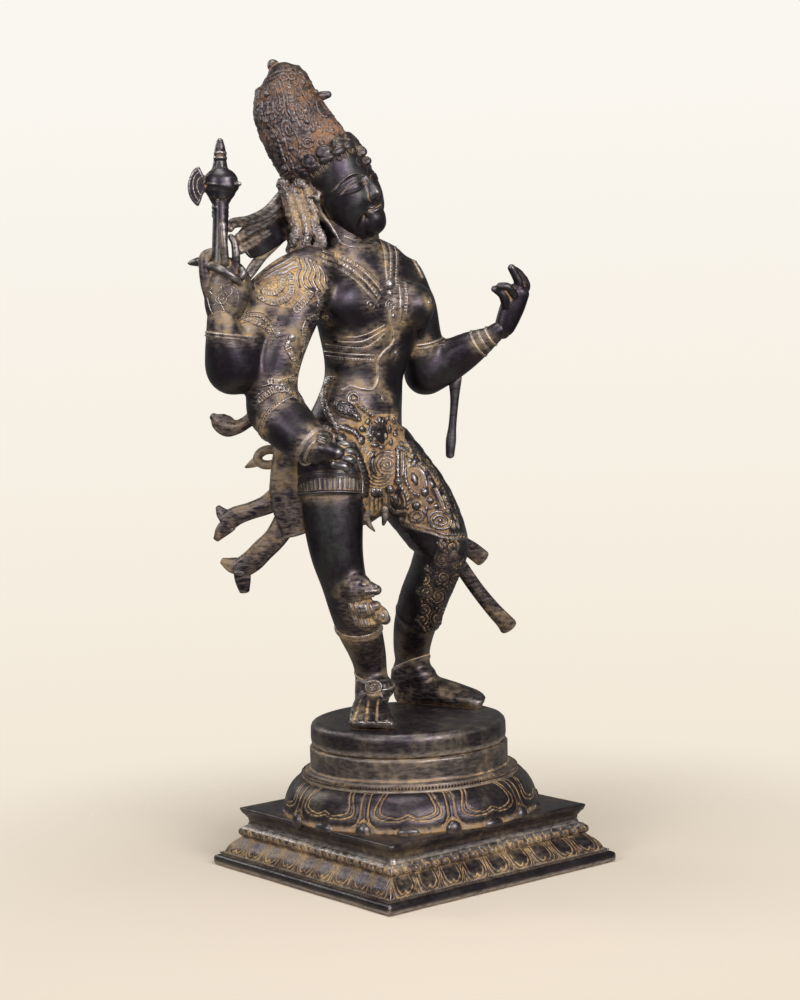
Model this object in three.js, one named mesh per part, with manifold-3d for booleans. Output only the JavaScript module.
// Cast bronze of a standing three-armed deity, half god and half goddess, on a lotus pedestal.
// Millimetres, +Z up, the figure faces -Y; the origin is the middle of the pedestal's underside.
import * as THREE from 'three';
import { mergeVertices } from 'three/addons/utils/BufferGeometryUtils.js';
import Module from 'manifold-3d';

const wasm = await Module();
wasm.setup();

// Pedestal: a square stepped base that carries a round lotus
const baseSide = 326;            // square slab, edge to edge
const slabHeight = 12;
const slabRounding = 3.5;
const petalRowHeight = 21;       // the row of broad petals above the slab
const curlRowHeight = 12;        // the narrow row of curls above the petals
const recessHeight = 14;         // the hollow moulding under the top plate
const recessDepth = 7;
const plateThickness = 7.5;
const plateSide = 280;           // the sharp edge of the top plate
const lotusRadius = 144;         // the dome of big petals, at its foot
const lotusHeight = 40;
const shoulderRadius = 121;      // where the dome ends in its ribbed ring
const ringHeight = 9;
const bandRadius = 112;          // the plain band that carries the figure's disc
const bandHeight = 25;
const bigPetals = 10;
const squarePetals = 9;          // broad petals along one side of the square
const petalRelief = 4;           // how far a big petal stands out of the dome
const smallPetalRelief = 2.2;
const budRadius = 8;             // the buds between the big petals

// The figure stands on a disc cast in one with it
const discRadius = 110.5;
const discHeight = 27.5;
const discRounding = 6;
const restGap = 0.3;             // between the disc and the pedestal
const figureHeight = 745;        // soles to the tip of the crown
const footSink = 3;              // how deep the soles run into the disc

const lotusFoot = slabHeight + petalRowHeight + curlRowHeight + recessHeight + plateThickness;
const bandTop = lotusFoot + lotusHeight + ringHeight + bandHeight;
const discTop = bandTop + restGap + discHeight;

// The figure is drawn on a grid that divides its height into this many parts
const gridParts = 745;
const part = figureHeight / gridParts;

// Solids

function solid(geometry) {
  const plain = geometry.clone();
  plain.deleteAttribute('normal');
  plain.deleteAttribute('uv');
  const merged = mergeVertices(plain, 1e-4);
  const vertProperties = new Float32Array(merged.attributes.position.array);
  const triVerts = new Uint32Array(merged.index.array);
  return new wasm.Manifold(new wasm.Mesh({ numProp: 3, vertProperties, triVerts }));
}

function geometryOf(manifold) {
  const mesh = manifold.getMesh();
  const geometry = new THREE.BufferGeometry();
  geometry.setAttribute('position', new THREE.BufferAttribute(mesh.vertProperties.slice(), 3));
  geometry.setIndex(new THREE.BufferAttribute(mesh.triVerts.slice(), 1));
  geometry.computeVertexNormals();
  return geometry;
}

// A closed skin over a stack of rings that all have the same number of points
function skin(rings) {
  const sides = rings[0].length;
  const points = rings.flat();
  const index = [];
  for (let i = 0; i < rings.length - 1; i++) {
    for (let j = 0; j < sides; j++) {
      const a = i * sides + j;
      const b = i * sides + (j + 1) % sides;
      index.push(a, b, b + sides, a, b + sides, a + sides);
    }
  }
  // a small convex end closes as a fan, a scalloped one on its middle
  for (const [ring, first, turn] of [[rings[0], 0, 1], [rings[rings.length - 1], (rings.length - 1) * sides, -1]]) {
    const close = (x, y, z) => (turn > 0 ? index.push(x, z, y) : index.push(x, y, z));
    if (sides <= 20) {
      for (let j = 1; j < sides - 1; j++) close(first, first + j, first + j + 1);
      continue;
    }
    points.push(ring.reduce((sum, p) => sum.add(p), new THREE.Vector3()).divideScalar(sides));
    const centre = points.length - 1;
    for (let j = 0; j < sides; j++) close(centre, first + j, first + (j + 1) % sides);
  }
  const geometry = new THREE.BufferGeometry();
  geometry.setAttribute('position', new THREE.Float32BufferAttribute(points.flatMap((p) => [p.x, p.y, p.z]), 3));
  geometry.setIndex(index);
  return outward(geometry);
}

function outward(geometry) {
  const p = geometry.attributes.position;
  const index = geometry.index.array;
  const [a, b, c] = [new THREE.Vector3(), new THREE.Vector3(), new THREE.Vector3()];
  let volume = 0;
  for (let i = 0; i < index.length; i += 3) {
    a.fromBufferAttribute(p, index[i]);
    b.fromBufferAttribute(p, index[i + 1]);
    c.fromBufferAttribute(p, index[i + 2]);
    volume += a.dot(b.cross(c));
  }
  if (volume < 0) {
    for (let i = 0; i < index.length; i += 3) {
      [index[i], index[i + 1]] = [index[i + 1], index[i]];
    }
  }
  return geometry;
}

// A limb through stations [x, y, z, half width, half depth] on the figure's grid.
// "front" is the side that the depth is measured towards; a squarer section has a higher power, and
// "flutes" draws in every other corner, as between locks of hair.
function limb(stations, { sides = 8, front = [0, -1, 0], power = 2, round = 1, flutes = 0 } = {}) {
  const grid = stations.map((s) => s.map((value) => value * part));
  const path = new THREE.CatmullRomCurve3(grid.map((s) => new THREE.Vector3(s[0], s[1], s[2])), false, 'catmullrom');
  const girth = new THREE.CatmullRomCurve3(grid.map((s) => new THREE.Vector3(s[3], s[4], 0)), false, 'catmullrom');
  const count = stations.length - 1;
  const facing = new THREE.Vector3(...front);
  const ringAt = (t, shift, scale) => {
    const tangent = path.getTangent(t);
    const side = new THREE.Vector3().crossVectors(tangent, facing).normalize();
    const depth = new THREE.Vector3().crossVectors(side, tangent);
    const centre = path.getPoint(t).addScaledVector(tangent, shift);
    const size = girth.getPoint(t);
    return Array.from({ length: sides }, (_, k) => {
      const angle = (k + 0.5) / sides * 2 * Math.PI;
      const [c, s] = [Math.cos(angle), Math.sin(angle)];
      const reach = scale * (k % 2 ? 1 : 1 - flutes);
      const w = Math.sign(c) * Math.abs(c) ** (2 / power) * size.x * reach;
      const d = Math.sign(s) * Math.abs(s) ** (2 / power) * size.y * reach;
      return centre.clone().addScaledVector(side, w).addScaledVector(depth, d);
    });
  };
  const rings = [];
  const tip = (t) => Math.min(girth.getPoint(t).x, girth.getPoint(t).y) * round;
  if (round) rings.push(ringAt(0, -tip(0) * 0.7, 0.7));
  for (let i = 0; i <= count; i++) rings.push(ringAt(i / count, 0, 1));
  if (round) rings.push(ringAt(1, tip(1) * 0.7, 0.7));
  return solid(skin(rings));
}

function ball([x, y, z], [rx, ry, rz], sides = 8, turn = [0, 0, 0]) {
  const geometry = new THREE.SphereGeometry(1, sides, Math.ceil(sides / 2));
  geometry.rotateX(Math.PI / 2);
  geometry.scale(rx * part, ry * part, rz * part);
  geometry.applyQuaternion(new THREE.Quaternion().setFromEuler(new THREE.Euler(...turn)));
  geometry.translate(x * part, y * part, z * part);
  return solid(geometry);
}

// A ring round a limb: centre, the limb's direction, and the two radii across it
function hoop([x, y, z], along, [wide, deep], thickness, sides = 12) {
  const geometry = new THREE.TorusGeometry(1, 0.5, 4, sides);
  const p = geometry.attributes.position;
  const v = new THREE.Vector3();
  for (let i = 0; i < p.count; i++) {
    v.fromBufferAttribute(p, i);
    const flat = Math.hypot(v.x, v.y);
    const out = (flat - 1) * 2;
    v.x = v.x / flat * (wide + out * thickness);
    v.y = v.y / flat * (deep + out * thickness);
    v.z = v.z * 2 * thickness;
    p.setXYZ(i, v.x * part, v.y * part, v.z * part);
  }
  const axis = new THREE.Vector3(...along).normalize();
  geometry.applyQuaternion(new THREE.Quaternion().setFromUnitVectors(new THREE.Vector3(0, 0, 1), axis));
  geometry.translate(x * part, y * part, z * part);
  return solid(geometry);
}

// A flat cuff round a limb: it stands from one point to the next
function cuff(from, to, [wide, deep], { sides = 10, front = [0, -1, 0] } = {}) {
  return limb([[...from, wide, deep], [...to, wide, deep]], { sides, front, round: 0 });
}

// Pedestal

// A square block turned from its side profile of [half side, height]
function squareBlock(profile) {
  const points = profile.map(([half, z]) => new THREE.Vector2(half * Math.SQRT2, z));
  const geometry = new THREE.LatheGeometry(points, 4, Math.PI / 4);
  geometry.rotateX(Math.PI / 2);
  return solid(geometry);
}

// A course of the square with petals that swell out of its four faces
function petalCourse(edges, petals) {
  const stops = [];
  for (let side = 0; side < 4; side++) {
    for (let petal = 0; petal < petals; petal++) {
      for (const share of [0, 0.2, 0.8]) stops.push({ side, along: (petal + share) / petals, swell: Math.sign(share) });
    }
  }
  const upright = new THREE.Vector3(0, 0, 1);
  const rings = edges.map(([half, z, relief]) => stops.map(({ side, along, swell }) => {
    const point = new THREE.Vector3((along * 2 - 1) * half, -half - relief * swell, z);
    return point.applyAxisAngle(upright, side * Math.PI / 2);
  }));
  return solid(skin(rings));
}

// The dome: its reach at a share of its rise, and the petals round it
function lotus() {
  const perPetal = 4;
  const count = bigPetals * perPetal;
  const rise = 5;
  const bellied = 0.57;
  const rings = [];
  for (let i = 0; i <= rise; i++) {
    const t = i / rise;
    const radius = shoulderRadius + (lotusRadius - shoulderRadius) * (1 - t ** 2) ** bellied;
    rings.push(Array.from({ length: count }, (_, j) => {
      const across = Math.sin(Math.PI * (j % perPetal) / perPetal) ** 0.6;
      const reach = radius - petalRelief * (1 - across) * (1 - t * 0.6);
      const angle = j / count * 2 * Math.PI;
      return new THREE.Vector3(Math.sin(angle) * reach, -Math.cos(angle) * reach, lotusFoot - 1 + (lotusHeight + 1) * t);
    }));
  }
  const pieces = [solid(skin(rings))];
  for (let k = 0; k < bigPetals; k++) {
    const angle = k / bigPetals * 2 * Math.PI;
    const bud = new THREE.SphereGeometry(1, 5, 3);
    bud.rotateX(Math.PI / 2);
    bud.scale(budRadius, budRadius, budRadius * 0.8);
    bud.translate(Math.sin(angle) * (lotusRadius - 5), -Math.cos(angle) * (lotusRadius - 5), lotusFoot + budRadius * 0.5);
    pieces.push(solid(bud));
  }
  return pieces;
}

function pedestal() {
  const half = baseSide / 2;
  const plateHalf = plateSide / 2;
  const petalTop = slabHeight + petalRowHeight;
  const curlTop = petalTop + curlRowHeight;
  const recessTop = curlTop + recessHeight;
  const slab = squareBlock([
    [0, 0], [half - slabRounding, 0], [half, slabRounding], [half, slabHeight - slabRounding],
    [half - slabRounding, slabHeight], [half - 6, slabHeight + 2], [0, slabHeight + 2],
  ]);
  const petals = petalCourse([
    [half - 9, slabHeight + 1, smallPetalRelief],
    [half - 11.5, slabHeight + 8, smallPetalRelief],
    [plateHalf - 0.5, petalTop, 0],
  ], squarePetals);
  const plate = squareBlock([
    [0, petalTop - 1], [plateHalf - 2, petalTop - 1], [plateHalf + 1, petalTop + 1], [plateHalf + 1.5, petalTop + 5],
    [plateHalf - 1, curlTop - 2], [plateHalf - recessDepth + 1, curlTop], [plateHalf - recessDepth, recessTop - 5],
    [plateHalf - 3, recessTop], [plateHalf, recessTop + plateThickness - 2], [plateHalf - 0.5, lotusFoot], [0, lotusFoot],
  ]);
  const ringFoot = lotusFoot + lotusHeight;
  const ringTop = ringFoot + ringHeight;
  const profile = [
    [0, ringFoot - 2],
    [shoulderRadius - 4, ringFoot - 2],
    [shoulderRadius + 1, ringFoot],
    [bandRadius + 3, ringTop - 1.5],
    [bandRadius, ringTop],
    [bandRadius, bandTop],
    [0, bandTop],
  ];
  const core = new THREE.LatheGeometry(profile.map(([r, z]) => new THREE.Vector2(r, z)), 36);
  core.rotateX(Math.PI / 2);
  return wasm.Manifold.union([slab, petals, plate, ...lotus(), solid(core)]);
}

// The figure, on its grid: x towards its left hand, -y towards its front, z from the disc's top.
// "viewer" is the way its right front quarter faces, which is the side it is seen from.
const viewer = [-0.62, -0.78, 0];

function torso() {
  const trunk = limb([
    [-30, 44, 262, 50, 40], [-34, 45, 286, 66, 48], [-33, 42, 310, 66, 46], [-27, 37, 340, 56, 38],
    [-20, 36, 368, 49, 36], [-17, 35, 391, 48, 35], [-13, 32, 426, 60, 39], [-12, 30, 460, 70, 42],
    [-20, 31, 490, 68, 36], [-30, 31, 512, 52, 29], [-38, 31, 528, 31, 25],
  ], { sides: 12, power: 2.25 });
  const neck = limb([[-39, 33, 505, 30, 28], [-41, 31, 525, 26, 26], [-43, 31, 556, 27, 27]], { round: 0 });
  const chestRight = ball([-42, 1, 470], [31, 16, 25]);
  const breastLeft = ball([22, -9, 463], [26, 26, 26], 9);
  const belly = ball([-24, 7, 345], [34, 15, 27], 6);
  return [trunk, neck, chestRight, breastLeft, belly];
}

function rightLeg() {
  const leg = limb([
    [-62, 42, 292, 40, 42], [-69, 34, 262, 37, 38], [-72, 30, 225, 34, 35], [-71, 27, 190, 30, 31],
    [-65, 24, 158, 26, 27], [-57, 24, 132, 25, 27], [-44, 27, 104, 25, 27], [-31, 30, 74, 21, 22],
    [-24, 34, 50, 18, 20], [-23, 35, 24, 19, 22],
  ], { sides: 10 });
  const kneeMask = ball([-64, -7, 152], [15, 17, 18]);
  const maskMuzzle = ball([-62, -22, 150], [10, 10, 10], 6);
  const kneeLump = ball([-48, -14, 125], [16, 14, 15]);
  const garter = cuff([-46, 25, 100], [-51, 24, 112], [31, 31]);
  return [leg, kneeMask, maskMuzzle, kneeLump, garter];
}

// The left leg under the long patterned cloth, which swells past the thigh's outline
function leftLeg() {
  const leg = limb([
    [-2, 36, 300, 42, 42], [10, 20, 272, 43, 40], [28, 8, 244, 40, 39], [42, -3, 214, 36, 35],
    [50, -8, 188, 30, 31], [49, 2, 162, 27, 28], [49, 23, 130, 26, 28], [54, 47, 98, 25, 26],
    [64, 68, 68, 22, 23], [70, 76, 46, 20, 22], [69, 84, 26, 20, 24],
  ], { sides: 10 });
  return [leg];
}

// A foot from the heel to the toes; "outer" is the side across it where its little toe lies
function foot(heel, toe, outer) {
  const from = new THREE.Vector3(...heel);
  const way = new THREE.Vector3(...toe).sub(from);
  const length = way.length();
  way.normalize();
  const across = new THREE.Vector3(-way.y, way.x, 0).multiplyScalar(outer);
  const at = (share, side, z) => {
    const p = from.clone().addScaledVector(way, share * length).addScaledVector(across, side);
    return [p.x, p.y, z - footSink];
  };
  const front = [0, 0, 1];
  const pieces = [limb([
    [...at(0.08, 0, 12), 17, 16], [...at(0.3, 0, 16), 20, 19],
    [...at(0.55, 1, 13), 24, 16], [...at(0.78, 1, 8), 26, 11],
  ], { front, power: 2.4 })];
  const toes = [[-18, 1, 8.5], [-5, 0.98, 5.6], [4.6, 0.95, 5], [13.4, 0.91, 4.8], [21.6, 0.86, 4.6]];
  for (const [side, reach, radius] of toes) {
    pieces.push(limb([
      [...at(0.7, side, 9), radius, radius],
      [...at(reach - 0.05, side, 7), radius, radius],
      [...at(reach, side, 5), radius * 0.6, radius * 0.6],
    ], { sides: 5, front, round: 0 }));
  }
  return pieces;
}

function feet() {
  return [
    ...foot([-8, 52, 0], [-66, -50, 0], -1),
    ...foot([64, 94, 0], [108, -12, 0], 1),
    ball([-25, 22, 34], [21, 24, 16], 6),
    ball([73, 61, 38], [22, 29, 20], 6),
  ];
}

// Each finger is a chain of points from its root to its tip
function fingers(chains, radius) {
  return chains.map((chain) => limb(
    chain.map((p, k) => [...p, radius * (1.05 - 0.1 * k), radius * (1.05 - 0.1 * k)]),
    { sides: 5, front: [0.3, -0.4, 0.85], round: 0 },
  ));
}

// The upper right arm lifts the axe
function upperRightArm() {
  const upper = limb([
    [-88, 28, 506, 27, 27], [-118, 33, 493, 28, 28], [-147, 42, 469, 28, 28], [-170, 48, 438, 29, 29], [-186, 49, 405, 31, 31],
  ], { front: viewer });
  const lower = limb([
    [-185, 48, 402, 32, 32], [-196, 44, 422, 29, 29], [-200, 40, 442, 19, 20], [-203, 40, 455, 13, 15],
  ], { front: viewer });
  const palm = limb([
    [-203, 39, 452, 15, 13], [-200, 36, 468, 25, 15], [-197, 34, 488, 28, 18], [-199, 37, 510, 19, 15],
  ], { front: viewer, round: 0 });
  const bracelet = cuff([-203, 40, 449], [-203, 39, 456], [19, 19], { front: viewer });
  const curled = fingers([
    [[-181, 28, 486], [-187, 19, 496], [-203, 18, 490]],
    [[-183, 27, 474], [-189, 17, 484], [-203, 17, 478]],
    [[-184, 28, 502], [-182, 26, 522], [-188, 34, 548]],
    [[-178, 30, 498], [-171, 30, 510], [-170, 34, 524]],
  ], 6.2);
  const spike = limb([
    [-204, 42, 506, 15, 10], [-213, 54, 514, 13, 8], [-226, 70, 515, 2, 2],
  ], { sides: 5, front: viewer, round: 0 });
  return [upper, lower, palm, bracelet, ...curled, spike];
}

function axe() {
  const shaft = limb([
    [-201, 32, 492, 8.5, 8.5], [-198, 41, 545, 8.5, 8.5], [-196, 43, 576, 9, 9],
  ], { sides: 6, front: viewer, round: 0 });
  const head = limb([
    [-196, 43, 574, 9, 9], [-195, 44, 584, 14, 12], [-194, 44, 598, 20, 15], [-193, 45, 611, 10, 10],
    [-193, 46, 624, 7.5, 7.5], [-191, 47, 645, 4.5, 4.5],
  ], { sides: 8, front: viewer });
  const outline = new THREE.Shape();
  outline.moveTo(9 * part, 6 * part);
  outline.quadraticCurveTo(1 * part, 8 * part, 3 * part, 22 * part);
  outline.quadraticCurveTo(-17 * part, 14 * part, -18 * part, 0);
  outline.quadraticCurveTo(-17 * part, -16 * part, -1 * part, -24 * part);
  outline.quadraticCurveTo(0, -9 * part, 9 * part, -6 * part);
  const blade = new THREE.ExtrudeGeometry(outline, { depth: 6 * part, bevelEnabled: false, curveSegments: 4 });
  blade.translate(0, 0, -3 * part);
  blade.rotateX(Math.PI / 2);
  blade.rotateZ(-0.66);
  blade.translate(-210 * part, 57 * part, 597 * part);
  const spike = limb([[-190, 40, 598, 7, 7], [-178, 30, 598, 2, 2]], { sides: 5, front: [0, 0, 1], round: 0 });
  return [shaft, head, solid(blade), spike];
}

// The lower right arm rests its hand on the belt
function lowerRightArm() {
  const front = [0, -0.5, -0.85];
  const upper = limb([
    [-92, 26, 486, 27, 27], [-116, 24, 460, 27, 28], [-136, 28, 418, 26, 27], [-145, 33, 384, 28, 28], [-144, 35, 358, 31, 31],
  ], { front });
  const lower = limb([
    [-144, 33, 354, 31, 32], [-140, 13, 337, 29, 30], [-134, -8, 321, 23, 25], [-128, -22, 311, 16, 18],
  ], { front });
  const palm = limb([
    [-130, -20, 314, 14, 13], [-122, -34, 305, 18, 13], [-113, -48, 297, 15, 11],
  ], { sides: 6, front, round: 0 });
  const bracelet = cuff([-132, -14, 318], [-128, -20, 314], [22, 22], { front });
  const digits = fingers([
    [[-108, -42, 300], [-98, -44, 304], [-90, -42, 312]],
    [[-110, -50, 294], [-100, -55, 296], [-92, -52, 303]],
    [[-114, -54, 290], [-105, -60, 286], [-97, -58, 292]],
    [[-122, -48, 296], [-124, -56, 306], [-118, -60, 314]],
  ], 6);
  const scarf = limb([
    [-142, 44, 350, 9, 20], [-158, 62, 338, 6, 13], [-174, 79, 332, 6, 15], [-187, 90, 345, 4, 5],
  ], { sides: 6, front: [0, 0, 1], round: 0 });
  return [upper, lower, palm, bracelet, ...digits, scarf];
}

// The left arm lifts a flower's stem between finger and thumb
function leftArm() {
  const front = [0.5, 0, -0.85];
  const upper = limb([
    [36, 28, 491, 27, 26], [51, 26, 466, 23, 26], [60, 28, 430, 21, 25], [67, 32, 402, 23, 25], [70, 34, 384, 25, 25],
  ], { front });
  const lower = limb([
    [70, 34, 384, 25, 26], [90, 16, 398, 23, 25], [106, -8, 413, 18, 20], [118, -26, 424, 12, 13], [123, -33, 430, 10, 11],
  ], { front });
  const palm = limb([
    [123, -32, 428, 10, 9], [131, -41, 444, 12, 9], [139, -49, 468, 13, 9],
  ], { sides: 6, front: [-0.7, -0.5, 0.3], round: 0 });
  const digits = fingers([
    [[131, -51, 464], [121, -48, 474], [112, -42, 478]],
    [[137, -48, 470], [128, -46, 481], [116, -43, 480]],
    [[140, -50, 470], [148, -54, 484], [136, -45, 505]],
    [[143, -54, 464], [149, -57, 480], [142, -50, 498]],
    [[143, -58, 460], [149, -61, 472], [147, -59, 484]],
  ], 5.2);
  const bracelet = cuff([113, -19, 420], [119, -27, 426], [18, 19], { front });
  const strap = limb([
    [101, 18, 390, 8, 5], [99, 18, 360, 6, 4], [98, 20, 324, 6, 4], [94, 22, 287, 5.5, 4],
  ], { sides: 5, front: viewer, round: 0 });
  return [upper, lower, palm, ...digits, bracelet, strap];
}

// The head is made upright about its own middle, then tilted to its right and turned to its left
function head() {
  const turn = new THREE.Matrix4().makeRotationFromEuler(new THREE.Euler(-0.1, -0.21, 0.35, 'ZYX'));
  const place = new THREE.Matrix4().makeTranslation(-43 * part, 30 * part, 587 * part).multiply(turn);
  const skull = limb([
    [0, -25, -47, 13, 13], [0, -18, -40, 23, 24], [0, -10, -28, 31, 34], [0, -5, -12, 36, 43],
    [0, -2, 4, 38, 47], [0, 0, 22, 38, 48], [0, 2, 40, 34, 44],
  ], { sides: 12, power: 2.15 });
  const nose = limb([
    [0, -44, 18, 4, 5], [0, -50, 3, 5, 6], [0, -54, -7, 8, 7], [0, -45, -12, 8, 5],
  ], { sides: 5, round: 0 });
  const lips = ball([0, -39, -19], [12, 7, 5], 6);
  const chin = ball([0, -36, -41], [12, 9, 9], 6);
  const ears = [-1, 1].map((side) => limb([
    [side * 38, 8, 14, 5, 9], [side * 41, 8, -16, 5, 8], [side * 38, 10, -55, 7, 11],
  ], { sides: 5, round: 0 }));
  const diadem = cuff([0, 2, 30], [0, 2, 44], [43, 50], { sides: 12 });
  const jewel = ball([0, -44, 44], [9, 8, 10], 6);
  const pieces = [skull, nose, lips, chin, ...ears, diadem, jewel];
  return pieces.map((piece) => piece.transform([...place.elements]));
}

// The tall crown of piled locks, which leans back and to the figure's right
function crown() {
  const pile = limb([
    [-56, 50, 610, 42, 46], [-59, 54, 627, 45, 46], [-65, 60, 642, 45, 45], [-72, 67, 659, 44, 43],
    [-79, 76, 681, 42, 40], [-82, 79, 701, 36, 34], [-83, 81, 717, 27, 25], [-89, 85, 729, 13, 13],
  ], { sides: 16, flutes: 0.1 });
  const cap = ball([-91, 86, 736], [9, 9, 8], 6);
  const knob = ball([-62, 40, 697], [8, 12, 6], 6);
  const backKnob = ball([-90, 69, 600], [15, 14, 15], 6);
  return [pile, cap, knob, backKnob];
}

// Locks at both sides of the neck, and the fan of locks from the back of the head to the raised hand
function hair() {
  const sideRight = limb([
    [-84, 42, 592, 8, 12], [-90, 40, 548, 14, 17], [-87, 37, 508, 14, 16],
  ], { sides: 6, front: viewer, round: 0 });
  const sideLeft = limb([
    [-8, 44, 580, 7, 12], [-3, 40, 545, 11, 15], [0, 34, 506, 12, 14],
  ], { sides: 6, front: [0.8, -0.6, 0], round: 0 });
  const nape = limb([
    [-60, 74, 612, 28, 12], [-52, 68, 560, 34, 15], [-40, 58, 505, 46, 13], [-30, 58, 466, 38, 9],
  ], { round: 0 });
  const shoulderLock = limb([
    [-12, 14, 536, 12, 7], [10, 5, 528, 13, 8], [32, 2, 514, 10, 8], [50, -1, 500, 4, 4],
  ], { sides: 6, front: [0, -1, 0.3], round: 0 });
  const strands = [];
  const strandCount = 4;
  for (let k = 0; k < strandCount; k++) {
    const t = k / (strandCount - 1);
    strands.push(limb([
      [-92, 62, 576 - t * 32, 6, 9], [-134 + t * 3, 56, 563 - t * 40, 5, 9], [-180 + t * 20, 42, 551 - t * 46, 5, 8],
    ], { sides: 4, front: [0, 0, 1], round: 0 }));
  }
  const web = limb([
    [-86, 64, 562, 5, 30], [-136, 57, 542, 4, 34],
  ], { sides: 4, front: [0, 0, 1], round: 0 });
  return [sideRight, sideLeft, nape, shoulderLock, ...strands, web];
}

// A flat tail of scarf that ends in a swallowtail: its route, then its two tips
function forkedTail(route, upper, lower, [wide, deep]) {
  const end = route[route.length - 1];
  const size = (p, share) => [...p, wide * share, deep];
  return [
    limb(route.map((p) => size(p, 1.15)), { sides: 4, front: viewer, round: 0 }),
    ...[upper, lower].map((tip) => limb([size(end, 1), size(tip, 0.7)], { sides: 4, front: viewer, round: 0 })),
  ];
}

function scarves() {
  const panel = limb([
    [-100, 50, 322, 19, 9], [-108, 57, 290, 20, 9], [-110, 62, 252, 20, 8], [-110, 68, 212, 19, 7],
  ], { sides: 6, front: viewer, power: 2.6, round: 0 });
  const bow = hoop([-127, 77, 302], [-0.62, -0.78, 0], [16, 10], 4.5, 10);
  const bowTip = limb([[-136, 84, 298, 9, 5], [-150, 94, 291, 2, 2]], { sides: 4, front: viewer, round: 0 });
  const upperFork = forkedTail(
    [[-108, 66, 250], [-124, 86, 233], [-139, 104, 225], [-152, 120, 224]],
    [-158, 126, 240], [-162, 129, 208], [12, 8]);
  const lowerFork = forkedTail(
    [[-104, 66, 226], [-112, 76, 204], [-125, 92, 184], [-141, 111, 173]],
    [-156, 124, 184], [-139, 110, 149], [15, 9]);
  const longSash = limb([
    [60, 6, 176, 9, 9], [86, -2, 147, 9, 8], [109, -7, 120, 9, 8], [138, -12, 84, 12, 9],
  ], { sides: 6, front: viewer });
  const sashStub = limb([
    [66, 2, 194, 10, 8], [88, -5, 179, 10, 8], [105, -11, 166, 10, 8],
  ], { sides: 6, front: viewer });
  return [panel, bow, bowTip, ...upperFork, ...lowerFork, longSash, sashStub];
}

// What is worn: belt, buckle, hanging loop, the short cloth and the collar
function dress() {
  const belt = cuff([-31, 40, 328], [-34, 43, 304], [69, 52], { sides: 12 });
  const shortCloth = limb([
    [-64, 40, 292, 44, 45], [-69, 34, 268, 41, 41], [-71, 31, 253, 39, 39],
  ], { sides: 10, round: 0 });
  const buckle = ball([-56, -14, 314], [17, 18, 16], 6);
  const beast = ball([-84, -6, 328], [14, 16, 17], 6);
  const clasp = ball([-62, 4, 352], [9, 9, 9], 6);
  const snake = limb([
    [-82, 0, 384, 6, 7], [-96, -10, 362, 7, 6], [-98, -16, 340, 7, 7], [-86, -20, 318, 8, 8], [-70, -20, 306, 8, 8],
  ], { sides: 5, front: viewer, round: 0 });
  const loop = limb([
    [-62, -12, 312, 6, 7], [-72, -14, 290, 6, 6], [-72, -18, 268, 6, 6], [-60, -20, 256, 7, 7],
    [-46, -16, 262, 6, 6], [-40, -10, 286, 6, 6], [-40, -6, 308, 6, 7],
  ], { sides: 5, front: [0, -1, 0.2], round: 0 });
  const apron = limb([
    [-50, 6, 306, 26, 14], [-52, 4, 280, 24, 14], [-54, 4, 258, 20, 14], [-58, 0, 244, 8, 10],
  ], { sides: 6, round: 0 });
  const hook = limb([[-57, -4, 252, 9, 9], [-60, -12, 232, 6, 6], [-55, -16, 214, 3, 3]], { sides: 5, round: 0 });
  const collar = hoop([-38, 22, 508], [0.08, -0.62, 0.78], [43, 43], 6, 12);
  const pendant = ball([-42, -20, 478], [7, 6, 9], 6);
  return [belt, shortCloth, buckle, beast, clasp, snake, loop, apron, hook, collar, pendant];
}

function disc() {
  const turns = 2;
  const profile = [new THREE.Vector2(0, 0), new THREE.Vector2(discRadius - 3, 0), new THREE.Vector2(discRadius, 4)];
  for (let k = 0; k <= turns; k++) {
    const angle = Math.PI / 2 * (k / turns);
    profile.push(new THREE.Vector2(
      discRadius - discRounding + discRounding * Math.cos(angle),
      discHeight - discRounding + discRounding * Math.sin(angle)));
  }
  profile.push(new THREE.Vector2(0, discHeight));
  const geometry = new THREE.LatheGeometry(profile, 32);
  geometry.rotateX(Math.PI / 2);
  geometry.translate(0, 0, -discHeight);
  return solid(geometry);
}

function figure() {
  return wasm.Manifold.union([
    ...torso(), ...rightLeg(), ...leftLeg(), ...feet(), ...upperRightArm(), ...axe(), ...lowerRightArm(),
    ...leftArm(), ...head(), ...crown(), ...hair(), ...scarves(), ...dress(), disc(),
  ]);
}

const bronze = new THREE.MeshStandardMaterial({ name: 'patinated bronze', color: '#2e2927', metalness: 0.85, roughness: 0.38 });
const dustyBronze = new THREE.MeshStandardMaterial({ name: 'dusted bronze', color: '#3a322a', metalness: 0.8, roughness: 0.5 });

const work = new THREE.Group();
const base = new THREE.Mesh(geometryOf(pedestal()), dustyBronze);
base.name = 'pedestal';
const statue = new THREE.Mesh(geometryOf(figure()), bronze);
statue.name = 'figure';
statue.position.z = discTop;
work.add(base, statue);

export default work;
